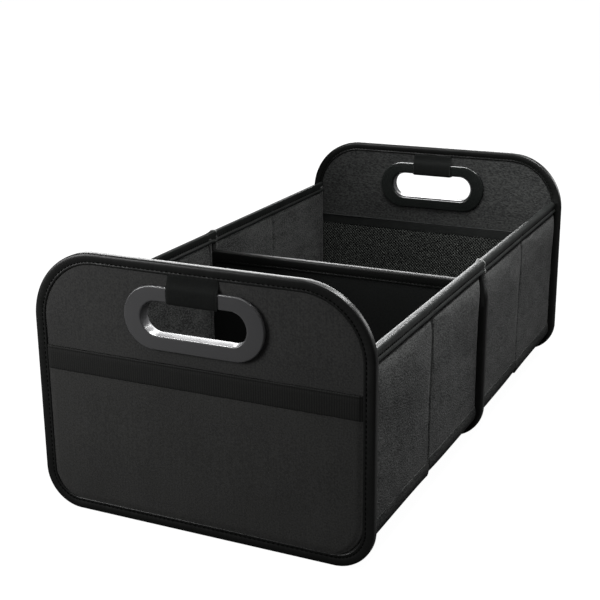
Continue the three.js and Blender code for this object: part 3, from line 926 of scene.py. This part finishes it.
def wall_top_tape(wall, seed):
    u = close_to(np.arange(wall.start, wall.stop, 1.1), wall.crease, 17, 3)
    section = wall_tape_section(wall)
    seam = abs(u - wall.crease)
    dimple = 0.4 * (0.5 + 0.5 * np.cos(2 * np.pi * (u - wall.start) / STITCH_PITCH))
    pucker = 0.2 * ripple(u, 0 * u, seed, 8, 40) + 0.35 * np.exp(-((seam / 2.2) ** 2))
    sway = 0.35 * ripple(u, 0 * u, seed + 1, 70, 260)
    room = wall.tape_depth + 0.35 + np.minimum(0.6, 0.03 * seam)
    rings = np.zeros((len(u), len(section), 3))
    for k, (out, z, pull) in enumerate(section):
        outward = np.clip(out - np.sign(out) * abs(pull) * (dimple + pucker), -room, room)
        rings[:, k] = wall.point(outward, u, wall.top + z + sway * abs(z) / TOP_TAPE)
    piece = swept(
        f"{wall.name}_wall_top_tape", rings, False, wall_webbing, "binding_tape", None,
        [f"{wall.inner}_top_binding", f"{wall.outer}_top_binding"],
    )
    wall.fold(piece)
    places = np.arange(wall.start + STITCH_PITCH / 2, wall.stop - 1, STITCH_PITCH)
    places = places[abs(places - wall.crease) > STITCH_PITCH / 2]
    height = np.full_like(places, wall.top - TOP_TAPE + 4.3)
    run = np.tile([0, 1, 0], (len(places), 1))
    rows = []
    for way in (1, -1):
        points = wall.point(np.full_like(places, way * (wall.tape_depth - 0.5)), places, height)
        rows.append((points, run, np.array([way * wall.side, 0, 0])))
    wall.fold(stitching(f"{wall.name}_wall_stitching", rows))


BOTTOM_TAPE = 15.5
INNER_DROOP, OUTER_DROOP = 1.9, -1.5


def wall_bottom_tape(wall, bay, seed):
    """A strip of the wall's own felt, folded over the bottom edge of one bay and sewn flat."""
    low, high = mm_box(f"{bay}_bottom_binding")
    first, last = np.sort(np.abs([low[1], high[1]]))
    gap = 0.8
    u = np.linspace(first + gap, last - gap, 70)
    half = wall.tape_depth
    side = [
        (half - 1.9, BOTTOM_TAPE - 0.4, 0), (half - 1.2, BOTTOM_TAPE + 0.1, 0),
        (half - 0.75, BOTTOM_TAPE - 0.5, 0.3), (half - 0.6, BOTTOM_TAPE - 1.6, 0.6),
        (half - 0.2, BOTTOM_TAPE - 4, 0.6), (half, BOTTOM_TAPE - 7, 0.4), (half - 0.15, 5.6, 0.3),
        (half - 0.6, 3.2, 0.2), (half - 1.3, 1.3, 0), (half - 2.2, 0.3, 0),
    ]
    section = np.array(side + [(-out, z, pull) for out, z, pull in reversed(side)])
    uneven = 0.25 * ripple(u, 0 * u, seed, 12, 70)
    at_crease = np.exp(-abs(u - wall.crease) / 28)
    droop = at_crease * (INNER_DROOP if bay == wall.inner else OUTER_DROOP)
    rings = np.zeros((len(u), len(section), 3))
    for k, (out, z, pull) in enumerate(section):
        outward = out - np.sign(out) * abs(pull * uneven)
        rings[:, k] = wall.point(outward, u, wall.bottom + z + droop)
    swept(
        f"{bay}_bottom_hem", rings, False, hem_felt, "binding_tape", f"{bay}_bay", [f"{bay}_bottom_binding"]
    )


# The wall's own felt, coloured a little darker: painted shade at the foot of the wall.
hem_felt = polyester_cloth("folded_felt_hem", "#141515", "#414241", FELT_GRAIN, LENGTHWISE, 0.5, 0.9, 0.0)
ROLL_RADIUS = 4.7


def seam_roll(wall, name, fold_at, panel_at, body):
    """The sewn-in edge of a wall at a panel, which rounds the corner when the wall turns flat."""
    pivot = wall.middle - wall.tape_depth
    toward = 1 if fold_at > panel_at else -1
    plan = [(pivot + 0.25, panel_at), (pivot + ROLL_RADIUS, panel_at)]
    for turn in np.radians(np.linspace(0, 87, 9)):
        plan.append((pivot + ROLL_RADIUS * math.cos(turn), fold_at + toward * ROLL_RADIUS * math.sin(turn)))
    plan = np.array(plan)
    heights = np.linspace(wall.bottom + 3, wall.top - 2.5, 12)
    rings = np.zeros((len(heights), len(plan), 3))
    for r, z in enumerate(heights):
        rings[r] = wall.point(plan[:, 0] - wall.middle, plan[:, 1], np.full(len(plan), z))
    swept(f"{wall.name}_{name}", rings, False, wall_felt, "wall_fabric", body)


joints = {joint["name"]: joint for joint in frame["joints"]}
for w, (side, end) in enumerate((side, end) for side in ("right", "left") for end in ("front", "rear")):
    wall = WallHalf(side, end)
    wall_sleeve(wall, 100 + 10 * w)
    wall_top_tape(wall, 200 + 10 * w)
    wall_bottom_tape(wall, wall.inner, 300 + 10 * w)
    wall_bottom_tape(wall, wall.outer, 305 + 10 * w)
    divider_fold = abs(joints[f"{end}_fold"]["pos_m"][1]) / MM
    panel_fold = abs(joints[f"{end}_panel_hinge"]["pos_m"][1]) / MM
    seam_roll(wall, "divider_seam", divider_fold, wall.start - 0.4, "root")
    seam_roll(wall, "panel_seam", panel_fold, wall.stop + 0.4, f"{end}_panel")


# Wall joiners: where the two halves of a wall meet over the divider, the front half's tape runs on over the
# rear half's and ends in a cut, with a pale bead along it whose paleness is a painted highlight. Below it
# the divider's edge narrows and slips under the tape.
# Pale grey for the bead along the cut: a painted highlight on the tape's end.
cut_end_painted_highlight = webbing("pale_webbing_end_painted_highlight", "#7e807e", "#a0a2a0", 0.45, 0.5)
OVERLAP_START, OVERLAP_STOP = -9.0, 6.5
OVERLAP_LIFT = 0.8
CUT_AT = 5.6
BEAD_RADIUS = 0.7
TAIL_START = 120


def joiner(side):
    wall = WallHalf(side, "front")
    section = wall_tape_section(wall)
    u = np.linspace(OVERLAP_START, OVERLAP_STOP, 48)
    rise = np.clip((u - OVERLAP_START) / 13, 0, 1) ** 1.3
    lift = OVERLAP_LIFT * (rise * np.sqrt(np.clip((OVERLAP_STOP + 0.1 - u) / 1.6, 0, 1)))
    rings = np.zeros((len(u), len(section), 3))
    for k, (out, z, _) in enumerate(section):
        sag = np.exp(-(((u - 3.5) / 2.6) ** 2)) if z < -TOP_TAPE / 2 else 0
        rings[:, k, 0] = wall.side * (wall.middle + out + np.sign(out) * lift)
        rings[:, k, 1] = u - 0.12 * (z + TOP_TAPE) * np.clip((u - 3) / 3.5, 0, 1)
        rings[:, k, 2] = wall.top + z + (lift if z > -TOP_TAPE / 2 else -0.3 * lift - 1.1 * sag)
    overlap = swept(f"{side}_tape_overlap", rings, False, wall_webbing, "binding_tape")
    up_and_over = 22
    cut = rings[np.argmin(abs(u - CUT_AT)), :up_and_over]
    run = np.gradient(cut, axis=0)
    out_of_tape = np.stack([run[:, 2], 0 * run[:, 1], -run[:, 0]], 1) * wall.side
    out_of_tape /= np.linalg.norm(out_of_tape, axis=1)[:, None]
    turns = np.radians(np.arange(0, 360, 45))
    bead = [
        point + BEAD_RADIUS * (np.cos(turns)[:, None] * out + np.sin(turns)[:, None] * np.array([0, 1, 0]))
        for point, out in zip(cut, out_of_tape)
    ]
    # A thin tube along the cut, coloured pale as a painted highlight.
    cut_bead_highlight = swept(f"{side}_overlap_sealed_end", bead, False, cut_end_painted_highlight, "binding_tape")
    for piece in (overlap, cut_bead_highlight):
        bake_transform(piece)
    heights = np.linspace(TAIL_START, wall.top - TOP_TAPE + 2, 28)
    near = wall.middle - 1.5
    tail = []
    for z, share in zip(heights, (heights - heights[0]) / (heights[-1] - heights[0])):
        half = 3.7 - 1.9 * share**2
        far = wall.middle + 9.7 - 6.8 * share**2.2
        lean = -3.2 * share**2
        round_it = [(near, -1), (far - 0.8, -1), (far, -0.45), (far, 0.45), (far - 0.8, 1), (near, 1)]
        tail.append([(wall.side * x, lean + half * way, z) for x, way in round_it])
    swept(
        f"{side}_divider_edge_tail", tail, False, black_webbing, "binding_tape", "root",
        [f"{side}_wall_joiner"],
    )


joiner("right")
joiner("left")


# Floor: padded black polyester, whose sides turn up where they are sewn to the bottom edges of the walls.
# Plain black cloth over thin foam, seen only from above.
floor_cloth = polyester_cloth("padded_black_polyester", "#141514", "#1e1f1e", FINE, ACROSS, 0.2, 0.88, 0.0)


def compartment_floor(end, seed):
    low, high = mm_box(f"{end}_floor")
    sewn = np.array([0.7, 1.4, 2.0])
    steps = 60
    across = np.concatenate([low[0] - sewn[::-1], np.linspace(low[0], high[0], steps), high[0] + sewn])
    x = across * np.ones((steps, 1))
    y = np.linspace(low[1], high[1], steps)[:, None] * np.ones((1, len(across)))
    edge = np.minimum.reduce([x - x.min(), x.max() - x, y - low[1], high[1] - y])
    crown = 1 - np.exp(-edge / 5)
    lip = np.interp(abs(x) - high[0], [0, *sewn], [0, 0.8, 3.2, 5.4])
    top = high[2] - 2.0 + 0.8 * crown + 0.1 * crown * ripple(x, y, seed, 50, 200) + lip
    bottom = low[2] - 0.7 - 0.5 * crown + 0.6 * lip
    pad = closed_sheet(
        f"{end}_floor_pad", (x, y, top), (x, y, bottom), False, floor_cloth, "floor_fabric", "root",
        [f"{end}_floor"],
    )
    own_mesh(pad)


compartment_floor("front", 71)
compartment_floor("rear", 72)


# Boards: grey pressed polypropylene, sealed inside the cloth of every panel and wall.
# Flecked mid grey, hidden unless a cover comes off.
pressed_board, tree = new_material("pressed_grey_polypropylene")
place = add(tree, "TexCoord").outputs["Object"]
fleck = add(tree, "TexNoise", Vector=place, Scale=1 / (2.5 * MM), Detail=4.0)
colour = add(
    tree, "Mix", {"data_type": "RGBA"}, i0=fleck.outputs["Fac"], i6=linear("#46474a"), i7=linear("#626366")
)
relief = add(tree, "Bump", Strength=0.3, Distance=0.1 * MM, Height=fleck.outputs["Fac"])
skin = add(tree, "BsdfPrincipled", Base_Color=colour.outputs[2], Roughness=0.6, Normal=relief.outputs[0])
add(tree, "OutputMaterial", Surface=skin.outputs[0])
for node, solid in frame["nodes"].items():
    if node.endswith("_board"):
        solid.data.materials.clear()
        solid.data.materials.append(pressed_board)
